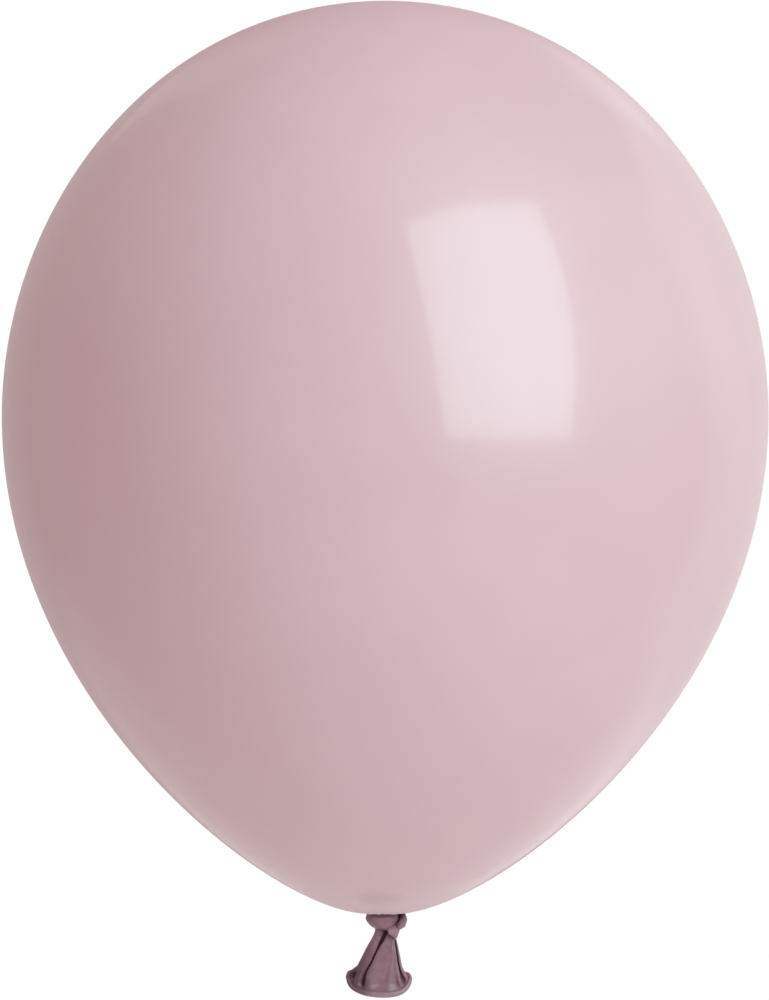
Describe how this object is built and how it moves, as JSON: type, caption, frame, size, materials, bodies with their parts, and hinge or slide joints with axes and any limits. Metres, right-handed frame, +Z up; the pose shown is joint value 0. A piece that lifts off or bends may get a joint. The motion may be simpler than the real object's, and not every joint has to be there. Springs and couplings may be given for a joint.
{
  "type": "latex party balloon",
  "caption": "Egg-shaped inflated latex balloon, closed by a knot in its gathered neck, with a flared tail that bends and ends in a rolled lip.",
  "frame": {"origin": "on the balloon's axis, in the groove between the underside of the envelope and the top of the knot, where a ribbon is tied", "axes": "+Z up the balloon's axis from the knot to the crown; -Y towards the front, the side where the knot's end is tucked down; +X to the right as seen from the front"},
  "size_m": [0.28, 0.28, 0.364],
  "materials": {
    "stretched_latex": "gloss",
    "slack_latex": "satin"
  },
  "bodies": {
    "envelope": {"envelope": "stretched_latex"},
    "knot": {"throat_strand": "slack_latex", "knot_turn": "slack_latex", "knot_tuck": "slack_latex"},
    "gather": {"tail_gather": "slack_latex"},
    "tail": {"tail_sleeve": "slack_latex", "rolled_lip": "slack_latex"}
  },
  "joints": [
    {"name": "neck_twist", "type": "hinge", "parent": "envelope", "child": "knot", "pos_m": [0, 0, 0], "axis": [0, 0, 1], "range_deg": [-180, 180], "stiffness_Nm_per_rad": 0.0003},
    {"name": "tail_swing", "type": "hinge", "parent": "knot", "child": "gather", "pos_m": [0, 0, -0.0056], "axis": [0, 1, 0], "range_deg": [-30, 30], "stiffness_Nm_per_rad": 0.0005},
    {"name": "tail_fold", "type": "hinge", "parent": "gather", "child": "tail", "pos_m": [0, 0, -0.0109], "axis": [1, 0, 0], "range_deg": [-60, 72], "stiffness_Nm_per_rad": 0.0005}
  ]
}
